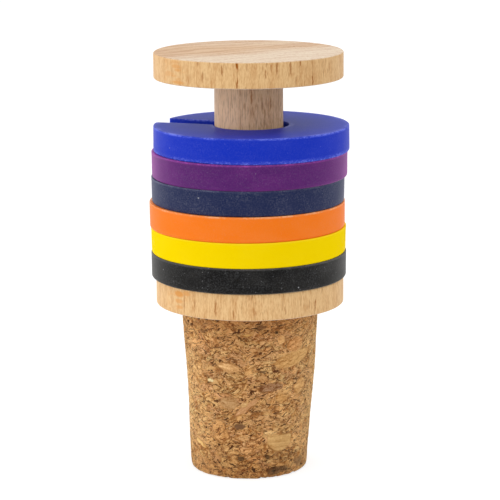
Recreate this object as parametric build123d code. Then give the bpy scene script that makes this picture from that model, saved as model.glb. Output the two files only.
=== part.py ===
from build123d import *
import os
from dataclasses import dataclass
from math import pi, radians, tan

# Bottle stopper: a turned beech spool glued to a tapered agglomerated cork
# plug, with six slotted silicone rings clipped round the spool's spindle.
# The rings come off to tell drinkers' glasses apart. Millimetres, +Z up. The
# origin is the centre of the plug's tip face, which the stopper stands on.

# Cork plug: its tip enters a standard 18.5 mm bottle mouth and wedges there
plug_length = 27.2
plug_top_diameter = 22.2
plug_tip_diameter = 18.7
plug_tip_round = 0.45
plug_top_round = 0.2

# Turned spool: a tenon, the base flange, the spindle and the top flange
tenon_diameter = 8.0
tenon_length = 12.0
tenon_chamfer = 0.8
base_flange_thickness = 4.3
top_flange_thickness = 4.1
flange_diameter = 30.0
flange_edge_round = 0.25
spindle_diameter = 10.9
spindle_length = 31.8
spindle_root_round = 0.3

# Blind hole in the plug: the tenon sits in it in a film of glue
glue_film = 0.05
glue_pocket = 1.5
drill_point_angle = 118.0

# Silicone ring as moulded, measured across its upper face, where the mould
# parted: its walls draw in below. Its play is the bore's clearance all round
ring_diameter = 31.2
ring_thickness = 4.04
ring_draft = 1.2
ring_play = 0.5
ring_slot = 4.0
slot_corner_round = 0.5
ring_upper_round = 0.12
ring_lower_round = 0.3


@dataclass(frozen=True)
class RingPlace:
    """How one ring lies on the spindle. Angles are in degrees round Z from +X."""

    colour: str
    slot_angle: float  # which way the slot opens
    slip_angle: float  # which way the ring has slipped on the spindle
    slip_share: float  # how far it has slipped, as a share of its play
    pinch_share: float = 0.0  # how much of the slot's width is pinched shut


# From the base flange up
ring_stack = [
    RingPlace("black", slot_angle=62, slip_angle=160, slip_share=0.3),
    RingPlace("yellow", slot_angle=118, slip_angle=200, slip_share=0.35),
    RingPlace("orange", slot_angle=35, slip_angle=175, slip_share=0.7),
    RingPlace("navy", slot_angle=98, slip_angle=190, slip_share=0.7, pinch_share=0.3),
    RingPlace("purple", slot_angle=136, slip_angle=330, slip_share=0.15),
    RingPlace("blue", slot_angle=160, slip_angle=0, slip_share=0.76),
]

# Heights and radii that the pieces share
flange_seat = plug_length
ring_seat = flange_seat + base_flange_thickness
spindle_top = ring_seat + spindle_length
stopper_height = spindle_top + top_flange_thickness
flange_radius = flange_diameter / 2
spindle_radius = spindle_diameter / 2
tenon_radius = tenon_diameter / 2


def turned(outline):
    """Solid of revolution about Z from an outline of (radius, height) points."""
    with BuildPart() as turning:
        with BuildSketch(Plane.XZ):
            with BuildLine():
                Polyline(*outline, close=True)
            make_face()
        revolve(axis=Axis.Z)
    return turning.part


def rounded_at(solid, radius, rounding):
    """The solid with its circular edges of one radius rounded over or filled in."""
    circles = solid.edges().filter_by(GeomType.CIRCLE)
    edges = [edge for edge in circles if abs(edge.radius - radius) < 1e-6]
    return solid.fillet(rounding, edges)


def make_spool():
    """One turning: tenon, base flange, spindle and top flange."""
    tenon_foot = flange_seat - tenon_length
    spool = turned(
        [
            (0, tenon_foot),
            (tenon_radius - tenon_chamfer, tenon_foot),
            (tenon_radius, tenon_foot + tenon_chamfer),
            (tenon_radius, flange_seat),
            (flange_radius, flange_seat),
            (flange_radius, ring_seat),
            (spindle_radius, ring_seat),
            (spindle_radius, spindle_top),
            (flange_radius, spindle_top),
            (flange_radius, stopper_height),
            (0, stopper_height),
        ]
    )
    spool = rounded_at(spool, flange_radius, flange_edge_round)
    return rounded_at(spool, spindle_radius, spindle_root_round)


def make_plug():
    """Tapered plug with a drilled blind hole that takes the spool's tenon."""
    tip_radius = plug_tip_diameter / 2
    top_radius = plug_top_diameter / 2
    hole_radius = tenon_radius + glue_film
    hole_floor = flange_seat - tenon_length - glue_pocket
    hole_point = hole_floor - hole_radius / tan(radians(drill_point_angle / 2))
    plug = turned(
        [
            (0, 0),
            (tip_radius, 0),
            (top_radius, plug_length),
            (hole_radius, plug_length),
            (hole_radius, hole_floor),
            (0, hole_point),
        ]
    )
    plug = rounded_at(plug, tip_radius, plug_tip_round)
    return rounded_at(plug, top_radius, plug_top_round)


def make_ring(place, floor):
    """A flat ring, slotted from bore to rim, lying at height floor."""
    slot = ring_slot * (1 - place.pinch_share)
    # A slot that is pinched shut takes its closing off the circumference.
    shrink = (ring_slot - slot) / (2 * pi)
    rim_radius = ring_diameter / 2 - shrink
    play = ring_play - shrink
    with BuildPart() as ring:
        with BuildSketch(Plane.XY.offset(ring_thickness)) as outline:
            Circle(rim_radius)
            Circle(spindle_radius + play, mode=Mode.SUBTRACT)
            Rectangle(ring_diameter, slot, align=(Align.MIN, Align.CENTER), mode=Mode.SUBTRACT)
            fillet(outline.vertices(), slot_corner_round)
        extrude(amount=-ring_thickness, taper=ring_draft)
        lower, upper = ring.faces().filter_by(Axis.Z).sort_by(Axis.Z)
        fillet(upper.edges(), ring_upper_round)
        fillet(lower.edges(), ring_lower_round)
    slip = Vector(play * place.slip_share, 0).rotate(Axis.Z, place.slip_angle)
    lie = Location((slip.X, slip.Y, floor), (0, 0, place.slot_angle))
    return ring.part.moved(lie)


def main():
    os.makedirs("parts", exist_ok=True)
    pieces = {"turned_spool": make_spool(), "cork_plug": make_plug()}
    floor = ring_seat
    for place in ring_stack:
        pieces[f"marker_ring_{place.colour}"] = make_ring(place, floor)
        floor += ring_thickness
    for node, solid in pieces.items():
        export_step(solid, f"parts/{node}.step")
        print(node, round(solid.volume, 1), "mm3")
    print("height", round(stopper_height, 2))
    print("free spindle above the rings", round(spindle_top - floor, 2))


main()
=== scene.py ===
"""Looks of a bottle stopper: a turned beech spool glued to an agglomerated cork plug,
with six slotted silicone rings clipped round the spool's spindle, in a white studio.

Lengths are in millimetres up to the moment a mesh is made. Angles round the axis are
in degrees from +X towards +Y, as in the part, unless a comment says otherwise. Colours
are linear.
"""

import logging
import math
from collections.abc import Callable, Sequence
from dataclasses import dataclass, field
from enum import Enum
from functools import reduce

import bmesh
import bpy
import numpy as np
from mathutils import Euler, Matrix, Vector
from mathutils.kdtree import KDTree


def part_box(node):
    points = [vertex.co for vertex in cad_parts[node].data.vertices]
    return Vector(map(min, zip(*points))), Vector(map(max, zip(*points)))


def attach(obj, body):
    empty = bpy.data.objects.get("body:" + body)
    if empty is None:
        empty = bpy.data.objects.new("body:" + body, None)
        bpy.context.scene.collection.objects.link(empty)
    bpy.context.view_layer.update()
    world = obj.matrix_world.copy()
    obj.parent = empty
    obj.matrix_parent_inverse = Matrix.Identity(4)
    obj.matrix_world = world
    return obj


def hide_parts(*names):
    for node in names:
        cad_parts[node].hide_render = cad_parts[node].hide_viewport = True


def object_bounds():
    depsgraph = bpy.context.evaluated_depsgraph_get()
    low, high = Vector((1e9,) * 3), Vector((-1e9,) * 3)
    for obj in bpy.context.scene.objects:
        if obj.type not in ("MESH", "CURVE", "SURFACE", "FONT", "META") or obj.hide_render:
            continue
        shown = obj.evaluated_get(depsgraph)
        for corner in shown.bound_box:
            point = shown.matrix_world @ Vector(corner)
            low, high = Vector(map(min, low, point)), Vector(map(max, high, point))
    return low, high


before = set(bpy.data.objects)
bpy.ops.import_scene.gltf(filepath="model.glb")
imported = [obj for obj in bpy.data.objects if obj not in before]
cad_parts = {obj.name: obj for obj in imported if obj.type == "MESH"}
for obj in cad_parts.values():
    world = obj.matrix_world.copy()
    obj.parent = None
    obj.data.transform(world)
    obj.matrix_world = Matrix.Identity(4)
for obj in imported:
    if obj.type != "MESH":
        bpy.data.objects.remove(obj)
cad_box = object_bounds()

MM = 0.001
BODY = "root"
WHITE = (1.0, 1.0, 1.0, 1.0)
NOISE_MIDDLE = 0.5  # a noise in a material runs from 0 to 1
MARK_EDGE = (1.25, 0.55)  # where a mark begins and where it is full, in shares of its size

Triple = tuple[float, float, float]
Colour = Triple
Pair = tuple[float, float]
Socket = bpy.types.NodeSocket
Term = Socket | float
Stretch = Callable[..., Socket]  # gives a place, stretched along three axes
log = logging.getLogger("stopper")


def node_box(node: str) -> tuple[Vector, Vector]:
    """Lowest and highest corner of a solid of the frame, in millimetres."""
    low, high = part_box(node)
    return low / MM, high / MM


def smooth_step(low: float, high: float, values: np.ndarray) -> np.ndarray:
    """Rises smoothly from 0 at low to 1 at high.

    Args:
        low: Where the rise begins.
        high: Where it ends. It may be below low, and then the values fall.
        values: What is measured against the two.

    Returns:
        An array like values, from 0 to 1.
    """
    share = np.clip((values - low) / (high - low), 0, 1)
    return share * share * (3 - 2 * share)


def compass(turn: np.ndarray) -> np.ndarray:
    """Unit vectors in the plane, one for each angle in radians."""
    return np.stack([np.cos(turn), np.sin(turn)], axis=1)


@dataclass(frozen=True)
class Ripple:
    """One layer of soft relief or tone on a mesh."""

    height: float
    size: float  # how far the noise's lattice points lie apart
    shift: float = 0.0  # where in the noise it is read


class SoftNoise:
    """Smooth random values in space, read from a seeded lattice that repeats."""

    def __init__(self, seed: int, cells: int = 32) -> None:
        """Fills the lattice.

        Args:
            seed: Gives the same values each run.
            cells: Lattice points along each side.
        """
        self.cells = cells
        self.lattice = np.random.default_rng(seed).uniform(-1, 1, (cells, cells, cells))

    def at(self, points: np.ndarray, size: float) -> np.ndarray:
        """The noise at some points.

        Args:
            points: One row of coordinates for each point.
            size: How far the lattice's points lie apart.

        Returns:
            One value from -1 to 1 for each point.
        """
        place = points / size
        low = np.floor(place).astype(int)
        share = place - low
        share = share * share * (3 - 2 * share)
        total = np.zeros(len(points))
        for corner in np.ndindex(2, 2, 2):
            index = (low + corner) % self.cells
            weight = np.prod(np.where(corner, share, 1 - share), axis=1)
            total += weight * self.lattice[index[:, 0], index[:, 1], index[:, 2]]
        return total

    def layered(self, points: np.ndarray, *ripples: Ripple, away: int = 1) -> np.ndarray:
        """Some ripples added up.

        Args:
            points: One row of coordinates for each point.
            ripples: The layers.
            away: Multiplies their shifts, for a reading of its own.

        Returns:
            One value for each point.
        """
        return sum(r.height * self.at(points + away * r.shift, r.size) for r in ripples)


def grid_faces(rows: int, columns: int) -> np.ndarray:
    """Quads between the rows of a grid of points whose columns close on themselves."""
    row, column = np.mgrid[0 : rows - 1, 0:columns]
    after = (column + 1) % columns
    corners = (row, column), (row, after), (row + 1, after), (row + 1, column)
    return np.stack([r * columns + c for r, c in corners], axis=-1).reshape(-1, 4)


def add_object(name: str, data: bpy.types.ID) -> bpy.types.Object:
    """Puts a new object with this data into the scene."""
    piece = bpy.data.objects.new(name, data)
    bpy.context.scene.collection.objects.link(piece)
    return piece


def make_piece(
    name: str,
    node: str,
    slot: str,
    points: np.ndarray,
    faces: np.ndarray,
    layers: dict[str, np.ndarray],
    weld: float,
) -> bpy.types.Object:
    """Makes a smooth mesh that stands for one solid of the frame.

    Args:
        name: The new piece's name.
        node: The solid that it replaces.
        slot: The record's material slot; not used.
        points: The mesh's points, in millimetres.
        faces: Four point numbers for each face, turning left seen from outside.
        layers: Values to store at the points: one, three or four numbers each.
        weld: Points closer than this, in millimetres, become one.

    Returns:
        The new object, which rides on the frame.
    """
    mesh = bpy.data.meshes.new(name)
    mesh.from_pydata((points * MM).tolist(), [], faces.tolist())
    for layer, values in layers.items():
        width = 1 if values.ndim == 1 else values.shape[1]
        kind, key = {
            1: ("FLOAT", "value"),
            3: ("FLOAT_VECTOR", "vector"),
            4: ("FLOAT_COLOR", "color"),
        }[width]
        stored = mesh.attributes.new(layer, kind, "POINT")
        stored.data.foreach_set(key, values.astype(np.float32).ravel())
    work = bmesh.new()
    work.from_mesh(mesh)
    bmesh.ops.remove_doubles(work, verts=work.verts, dist=weld * MM)
    bmesh.ops.recalc_face_normals(work, faces=work.faces)
    work.to_mesh(mesh)
    work.free()
    mesh.shade_smooth()
    piece = add_object(name, mesh)
    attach(piece, BODY)
    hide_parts(node)
    return piece


@dataclass(frozen=True)
class Wave:
    """A soft noise in a material."""

    waves: Triple  # to a millimetre, along three axes
    detail: float = 2.0  # finer layers added to it
    rough: float = 0.5  # how strong the finer layers are


@dataclass(frozen=True)
class Rise:
    """A smooth rise of a value in a material. It falls where high is below low."""

    low: float
    high: float
    bottom: float = 0.0  # the result before the rise
    top: float = 1.0  # the result after it


class Bench:
    """Lays out the nodes of one material."""

    def __init__(self, owner: bpy.types.Material | bpy.types.World) -> None:
        """Empties the node tree of a material or a world."""
        owner.use_nodes = True
        self.owner = owner
        self.tree = owner.node_tree
        self.tree.nodes.clear()

    @classmethod
    def for_material(cls, name: str) -> "Bench":
        """Opens a new material."""
        return cls(bpy.data.materials.new(name))

    def put(
        self, kind: str, inputs: dict | None = None, **settings: object
    ) -> bpy.types.Node:
        """Adds a node.

        Args:
            kind: Blender's name for it, less the leading ShaderNode.
            inputs: Values or sockets for its inputs, by name or number.
            settings: The node's own options.

        Returns:
            The new node.
        """
        node = self.tree.nodes.new("ShaderNode" + kind)
        for option, value in settings.items():
            setattr(node, option, value)
        for key, value in (inputs or {}).items():
            if isinstance(value, Socket):
                self.tree.links.new(value, node.inputs[key])
            else:
                node.inputs[key].default_value = value
        return node

    def calc(self, operation: str, *terms: Term) -> Socket:
        """One arithmetic step on up to three numbers or sockets."""
        return self.put("Math", dict(enumerate(terms)), operation=operation).outputs[0]

    def fold(self, operation: str, terms: Sequence[Term]) -> Socket:
        """Takes terms together, one after another, by one operation."""
        return reduce(lambda total, term: self.calc(operation, total, term), terms)

    def plus(self, *terms: Term) -> Socket:
        """The terms added up."""
        return self.fold("ADD", terms)

    def times(self, *terms: Term) -> Socket:
        """The terms multiplied."""
        return self.fold("MULTIPLY", terms)

    def most(self, *terms: Term) -> Socket:
        """The highest of the terms."""
        return self.fold("MAXIMUM", terms)

    def scaled(self, value: Term, factor: Term, start: Term) -> Socket:
        """A value times a factor, added to a start."""
        return self.calc("MULTIPLY_ADD", value, factor, start)

    def vector(self, operation: str, *terms: Socket | Sequence[float]) -> Socket:
        """One step on up to three vectors, part by part."""
        return self.put("VectorMath", dict(enumerate(terms)), operation=operation).outputs[0]

    def shaded(self, value: Socket, factor: Term) -> Socket:
        """A colour or vector times one number or socket."""
        inputs = {0: value, "Scale": factor}
        return self.put("VectorMath", inputs, operation="SCALE").outputs[0]

    def parts(self, vector: Socket) -> list[Socket]:
        """The three parts of a vector."""
        return list(self.put("SeparateXYZ", {0: vector}).outputs)

    def channels(self, colour: Socket) -> list[Socket]:
        """Red, green and blue of a colour."""
        return list(self.put("SeparateColor", {0: colour}).outputs)

    def layer(self, name: str, output: str = "Fac") -> Socket:
        """Values stored at the mesh's points."""
        return self.put("Attribute", attribute_name=name).outputs[output]

    def here(self, turn: float = 0.0) -> Socket:
        """The surface's own coordinates in millimetres, on axes turned round Z."""
        inputs = {
            "Vector": self.put("TexCoord").outputs["Object"],
            "Rotation": (0.0, 0.0, math.radians(-turn)),
            "Scale": (1 / MM, 1 / MM, 1 / MM),
        }
        return self.put("Mapping", inputs).outputs[0]

    def stretch(self, vector: Socket) -> Stretch:
        """A function of three scales that gives the vector stretched by them."""
        return lambda *scale: self.vector("MULTIPLY", vector, scale)

    def noise(self, place: Stretch, wave: Wave, output: str = "Fac") -> Socket:
        """Soft noise from 0 to 1.

        Args:
            place: Where it is read.
            wave: Its waves and detail.
            output: Fac for one value, or Color for three.

        Returns:
            The noise's socket.
        """
        inputs = {
            "Vector": place(*wave.waves),
            "Scale": 1.0,
            "Detail": wave.detail,
            "Roughness": wave.rough,
        }
        return self.put("TexNoise", inputs).outputs[output]

    def step(self, value: Term, rise: Rise) -> Socket:
        """Where a value stands on a smooth rise."""
        inputs = {"Value": value, 1: rise.low, 2: rise.high, 3: rise.bottom, 4: rise.top}
        node = self.put("MapRange", inputs, interpolation_type="SMOOTHSTEP")
        return node.outputs["Result"]

    def noise_step(self, place: Stretch, wave: Wave, rise: Rise) -> Socket:
        """Where a soft noise stands on a smooth rise."""
        return self.step(self.noise(place, wave), rise)

    def blend(
        self, share: Term, first: Socket | Colour, second: Socket | Colour, mode: str = "MIX"
    ) -> Socket:
        """Mixes two colours.

        Args:
            share: How much of the second shows, from 0 to 1.
            first: The first colour or its socket.
            second: The second colour or its socket.
            mode: How they mix.

        Returns:
            The mixed colour's socket.
        """
        pair = [(*c, 1.0) if isinstance(c, tuple) else c for c in (first, second)]
        inputs = {0: share, 6: pair[0], 7: pair[1]}  # the sockets of a mix of colours
        node = self.put("Mix", inputs, data_type="RGBA", blend_type=mode)
        return node.outputs[2]

    def oval(self, plane: Socket, centre: Pair, size: Pair, depth: float) -> Socket:
        """An oval mark on a plane, with a soft edge.

        Args:
            plane: A place on the plane.
            centre: The mark's middle.
            size: Half its width and half its length.
            depth: How strong it is, from 0 to 1.

        Returns:
            The socket of its mask, from 0 to depth.
        """
        scale = (1 / size[0], 1 / size[1], 0.0)
        shift = (-centre[0] / size[0], -centre[1] / size[1], 0.0)
        place = self.vector("MULTIPLY_ADD", plane, scale, shift)
        far = self.put("VectorMath", {0: place}, operation="LENGTH").outputs["Value"]
        return self.step(far, Rise(*MARK_EDGE, 0.0, depth))

    def bump(self, height: Socket, reach: float, strength: float) -> Socket:
        """Turns a height into a change of the normal.

        Args:
            height: The height's socket, from 0 to 1.
            reach: How high 1 stands, in millimetres.
            strength: Share of the effect.

        Returns:
            The normal's socket.
        """
        inputs = {"Height": height, "Distance": reach * MM, "Strength": strength}
        return self.put("Bump", inputs).outputs[0]

    def finish(self, shader: Socket) -> bpy.types.Material:
        """Joins the last shader to the output and gives the material."""
        self.put("OutputMaterial", {"Surface": shader})
        return self.owner


@dataclass(frozen=True)
class Mark:
    """A listed mark on a turned face, such as one of the wood's rays."""

    azimuth: float  # degrees from the front, towards the right
    height: float
    half_width: float
    half_length: float
    depth: float  # how strong it is, from 0 to 1


@dataclass(frozen=True)
class Spot:
    """A small dark mark on the end grain of the top face."""

    x: float
    y: float
    half_width: float
    half_length: float
    depth: float


@dataclass(frozen=True)
class BeechFinish:
    """Sanded beech. Its rays stand in planes across the growth rings.

    Each noise runs along the growth, along the rings and up the fibres. A shade says
    how far a noise darkens the wood.
    """

    radial: float = -50.0  # which way the rings are counted
    roughness: float = 0.5
    gloss: float = 0.14
    early: Colour = (0.828, 0.545, 0.264)
    late: Colour = (0.60, 0.300, 0.108)
    side_face: Rise = Rise(0.75, 0.35)  # of how far the surface faces up
    top_face: Rise = Rise(0.35, 0.9)

    ring_width: float = 2.2
    ring_warp: Wave = Wave((0.07, 0.05, 0.02))
    ring_warp_reach: float = 5.0
    ring_wobble: Wave = Wave((0.5, 0.35, 0.05), 1.0)
    ring_wobble_reach: float = 0.5
    late_rise: Rise = Rise(0.35, 0.88)  # of a year's growth, seen on the sides
    winter: Rise = Rise(1.0, 0.93)
    late_shade: float = 0.26

    strand: Wave = Wave((1.7, 1.7, 0.30), 3.0, 0.55)
    strand_shade: Rise = Rise(0.42, 0.64, 0.0, 0.16)
    fibre: Wave = Wave((4.8, 4.8, 0.50), 2.0, 0.6)
    fibre_shade: Rise = Rise(0.42, 0.68, -0.04, 0.44)
    thread: Wave = Wave((6.0, 6.0, 1.8), 1.0)
    thread_shade: Rise = Rise(0.35, 0.65, -0.14, 0.20)
    thread_height: float = 0.4
    ray_sink: float = 0.35
    relief: Pair = (0.03, 0.7)  # the height of the grain and the share of it that shows

    ray: Colour = (0.32, 0.088, 0.0)
    sheet: Wave = Wave((0.12, 2.8, 0.50), 1.5, 0.45)
    sheet_rise: Rise = Rise(0.63, 0.72)
    fine_sheet: Wave = Wave((0.16, 4.4, 0.85), 1.0, 0.4)
    fine_sheet_rise: Rise = Rise(0.62, 0.72, 0.0, 0.6)
    ray_face: Rise = Rise(0.10, 0.85, 0.10, 0.34)  # most where the sheets are cut across
    fleck: Colour = (0.74, 0.33, 0.085)
    patch: Wave = Wave((0.34, 2.4, 0.95), 2.0, 0.55)
    patch_rise: Rise = Rise(0.50, 0.58)
    fleck_face: Rise = Rise(0.980, 0.993, 0.0, 0.32)  # only where the sheets lie flat
    fleck_radius: Rise = Rise(5.0, 6.5, 0.3, 1.0)

    spindle_radius: float = 5.45
    spindle_span: Pair = (36.0, 63.3)
    flange_radius: float = 15.0
    fray: Wave = Wave((2.2, 2.2, 1.1))
    fray_reach: float = 0.5
    mark_swell: Pair = (1.15, 1.3)  # how far a mark's soft edge widens and lengthens it

    end_bend: float = -9.0  # degrees by which the rings turn towards the middle
    end_early: Colour = (0.695, 0.468, 0.276)
    end_pale: Colour = (0.805, 0.655, 0.490)
    end_late: Colour = (0.54, 0.295, 0.150)
    end_late_rise: Rise = Rise(0.50, 0.82)
    bay: Wave = Wave((0.10, 0.07, 0.10), 1.0)  # bends the front of the paler wood
    bay_reach: float = 9.0
    pale_front: Rise = Rise(2.0, 9.0)
    pale_back: Rise = Rise(4.0, 12.0, 0.0, 0.6)
    late_fade: Rise = Rise(10.0, 4.0, 0.20, 0.56)
    line: Wave = Wave((1.15, 0.045, 0.1), 3.0, 0.65)
    line_rise: Rise = Rise(0.53, 0.57)
    line_fade: Rise = Rise(11.0, 4.0, 0.35, 1.0)
    line_shade: float = 0.58
    pore: Wave = Wave((4.0, 2.6, 0.4), 2.0, 0.6)
    pore_shade: Rise = Rise(0.44, 0.72, 0.0, 0.34)
    end_strand_shade: Rise = Rise(0.4, 0.7, -0.1, 0.22)

    right_painted_shade: Rise = Rise(2.0, 11.0, 1.0, 0.945)  # painted shade: the wood is darker to the right
    low_light: Rise = Rise(40.0, 55.0, 1.055, 0.98)  # and painted light: it is lighter below the rings

    raw_tint: Colour = (0.90, 0.935, 1.13)  # the spindle is greyer and bluer than the flanges
    raw_fibre: Colour = (0.27, 0.160, 0.112)
    # painted light: the colour and the reach of the paler left side of the spindle
    raw_painted_light: Colour = (0.95, 0.67, 0.43)
    raw_radius: Rise = Rise(5.95, 5.8)
    raw_painted_light_left: Rise = Rise(2.2, -3.4, 0.0, 0.62)
    raw_fibre_shade: Rise = Rise(0.48, 0.66, 0.0, 0.38)
    raw_shadow: Rise = Rise(56.5, 62.0, 1.10, 0.90)  # darker towards the top flange

    rays: tuple[Mark, ...] = (
        Mark(-6.7, 67.0, 0.15, 0.58, 1.0),
        Mark(-6.6, 64.2, 0.11, 0.85, 0.85),
        Mark(-6.6, 65.5, 0.07, 0.90, 0.35),
        Mark(-15.6, 66.1, 0.12, 0.75, 0.60),
        Mark(-28.0, 65.1, 0.19, 0.65, 0.55),
        Mark(-30.7, 67.1, 0.14, 0.42, 0.55),
        Mark(-23.0, 67.1, 0.11, 0.54, 0.35),
        Mark(-0.9, 66.7, 0.11, 0.53, 0.40),
        Mark(9.9, 65.6, 0.12, 0.60, 0.65),
        Mark(10.8, 67.1, 0.12, 0.38, 0.50),
        Mark(16.7, 66.5, 0.16, 0.80, 0.70),
        Mark(25.2, 66.4, 0.12, 0.95, 0.62),
        Mark(31.7, 67.0, 0.13, 0.42, 0.75),
        Mark(31.3, 65.1, 0.08, 1.55, 0.35),
        Mark(40.7, 64.2, 0.11, 0.70, 0.85),
        Mark(40.8, 66.0, 0.08, 1.20, 0.40),
        Mark(50.0, 65.8, 0.09, 1.32, 0.50),
        Mark(56.2, 65.7, 0.09, 0.80, 0.55),
        Mark(28.9, 64.3, 0.11, 0.62, 0.45),
        Mark(-42.0, 65.4, 0.06, 1.90, 0.35),
        Mark(-56.5, 65.4, 0.06, 1.90, 0.30),
        Mark(-20.9, 29.1, 0.14, 1.20, 0.65),
        Mark(2.6, 28.2, 0.09, 0.95, 0.42),
        Mark(-10.2, 28.3, 0.11, 0.60, 0.60),
        Mark(-35.0, 29.4, 0.12, 0.56, 0.45),
        Mark(42.7, 28.9, 0.10, 0.78, 0.80),
        Mark(20.3, 31.0, 0.10, 0.64, 0.50),
        Mark(21.2, 28.6, 0.10, 0.64, 0.50),
        Mark(1.1, 31.0, 0.11, 0.45, 0.55),
        Mark(-4.8, 29.2, 0.09, 0.96, 0.30),
        Mark(32.0, 29.9, 0.09, 0.80, 0.35),
        Mark(37.9, 29.2, 0.09, 0.64, 0.40),
        Mark(-43.2, 29.4, 0.06, 2.00, 0.40),
        Mark(-14.4, 61.5, 0.13, 0.55, 0.80),
        Mark(4.6, 60.9, 0.13, 1.05, 0.90),
        Mark(-6.7, 59.1, 0.11, 0.70, 0.80),
        Mark(12.0, 59.3, 0.10, 0.63, 0.50),
        Mark(27.4, 58.1, 0.11, 0.66, 0.65),
        Mark(38.8, 59.6, 0.11, 0.90, 0.60),
        Mark(22.4, 59.8, 0.10, 1.03, 0.45),
        Mark(59.4, 58.5, 0.09, 2.38, 0.45),
        Mark(8.6, 58.2, 0.10, 0.47, 0.50),
    )
    flecks: tuple[Mark, ...] = (
        Mark(-49.0, 66.95, 1.00, 0.22, 0.40),
        Mark(-48.0, 66.30, 0.95, 0.28, 0.60),
        Mark(-46.5, 65.75, 0.60, 0.20, 0.65),
        Mark(-50.0, 64.80, 0.70, 0.16, 0.35),
        Mark(-46.5, 63.85, 1.30, 0.20, 0.70),
        Mark(-47.8, 30.55, 1.00, 0.42, 1.00),
        Mark(-41.5, 30.85, 0.80, 0.34, 0.70),
        Mark(-48.0, 29.40, 0.80, 0.30, 0.70),
        Mark(-47.5, 28.45, 0.75, 0.24, 0.60),
    )
    spots: tuple[Spot, ...] = (
        Spot(-0.75, -4.0, 0.16, 0.30, 0.45),
        Spot(7.3, 5.6, 0.20, 0.35, 0.50),
        Spot(8.4, 4.9, 0.22, 0.30, 0.50),
        Spot(12.6, 1.5, 0.90, 0.35, 0.22),
    )

    def material(self) -> bpy.types.Material:
        """Makes the material."""
        bench = Bench.for_material("turned_beech")
        along = self.along_grain(bench)
        right, _, up = bench.parts(bench.here())
        out = self.distance_out(bench)
        facing = bench.parts(self.turned_normal(bench))
        flat_sawn, quarter_sawn, upward = (bench.calc("ABSOLUTE", part) for part in facing)
        on_side = bench.step(upward, self.side_face)
        strand = bench.noise(along, self.strand)
        fibre = bench.noise(along, self.fibre)
        thread = bench.noise(along, self.thread)

        shade = bench.plus(
            bench.times(self.late_wood(bench, along, self.late_rise), self.late_shade),
            bench.step(strand, self.strand_shade),
            bench.step(fibre, self.fibre_shade),
            bench.step(thread, self.thread_shade),
        )
        colour = bench.blend(shade, self.early, self.late)
        sheets = bench.most(
            bench.noise_step(along, self.sheet, self.sheet_rise),
            bench.noise_step(along, self.fine_sheet, self.fine_sheet_rise),
        )
        ray = bench.times(sheets, bench.step(flat_sawn, self.ray_face))
        ray = bench.most(ray, self.placed(bench, self.rays))
        colour = bench.blend(bench.times(ray, on_side), colour, self.ray)
        fleck = bench.times(
            bench.most(sheets, bench.noise_step(along, self.patch, self.patch_rise)),
            bench.step(quarter_sawn, self.fleck_face),
            bench.step(out, self.fleck_radius),
        )
        fleck = bench.most(fleck, self.placed(bench, self.flecks))
        colour = bench.blend(bench.times(fleck, on_side), colour, self.fleck)
        # painted shade on the right and painted light below the rings
        light = bench.times(bench.step(right, self.right_painted_shade), bench.step(up, self.low_light))
        colour = bench.shaded(colour, light)

        on_top = bench.step(upward, self.top_face)
        colour = bench.blend(on_top, colour, self.end_grain(bench, strand))
        raw = bench.times(bench.step(out, self.raw_radius), on_side)
        colour = bench.blend(raw, colour, self.raw_wood(bench, colour, fibre))

        height = bench.calc("SUBTRACT", fibre, bench.times(ray, self.ray_sink))
        height = bench.scaled(thread, self.thread_height, height)
        shader = bench.put(
            "BsdfPrincipled",
            {
                "Base Color": colour,
                "Roughness": self.roughness,
                "Specular IOR Level": self.gloss,
                "Normal": bench.bump(height, *self.relief),
            },
        )
        return bench.finish(shader.outputs[0])

    def end_grain(self, bench: Bench, strand: Socket) -> Socket:
        """Colour of the top face, where the fibres are cut across.

        Args:
            bench: Where the nodes go.
            strand: The noise of the wood's strands.

        Returns:
            The colour's socket.
        """
        along = self.along_grain(bench, self.end_bend)
        across = bench.parts(along(1.0, 0.0, 0.0))[0]
        front = bench.scaled(bench.noise(along, self.bay), self.bay_reach, across)
        back = bench.parts(bench.here())[1]
        pale = bench.most(bench.step(front, self.pale_front), bench.step(back, self.pale_back))
        ground = bench.blend(pale, self.end_early, self.end_pale)
        late = self.late_wood(bench, along, self.end_late_rise)
        line = bench.noise_step(along, self.line, self.line_rise)
        shade = bench.plus(
            bench.times(late, bench.step(front, self.late_fade)),
            bench.times(line, bench.step(front, self.line_fade), self.line_shade),
            bench.noise_step(along, self.pore, self.pore_shade),
            bench.step(strand, self.end_strand_shade),
        )
        colour = bench.blend(shade, ground, self.end_late)
        return bench.blend(self.placed_spots(bench), colour, self.ray)

    def raw_wood(self, bench: Bench, colour: Socket, fibre: Socket) -> Socket:
        """Colour of the spindle, which is left rougher than the flanges, with painted light on
        its left side and painted shadow towards the top flange.

        Args:
            bench: Where the nodes go.
            colour: The sanded wood's colour.
            fibre: The noise of the wood's fibres.

        Returns:
            The colour's socket.
        """
        right, _, up = bench.parts(bench.here())
        raw = bench.blend(1.0, colour, self.raw_tint, "MULTIPLY")
        # painted light on the spindle's left side
        raw = bench.blend(bench.step(right, self.raw_painted_light_left), raw, self.raw_painted_light)
        raw = bench.blend(bench.step(fibre, self.raw_fibre_shade), raw, self.raw_fibre)
        return bench.shaded(raw, bench.step(up, self.raw_shadow))

    def distance_out(self, bench: Bench) -> Socket:
        """Distance from the spool's axis."""
        right, back, _ = bench.parts(bench.here())
        return bench.calc("SQRT", bench.scaled(right, right, bench.times(back, back)))

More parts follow.
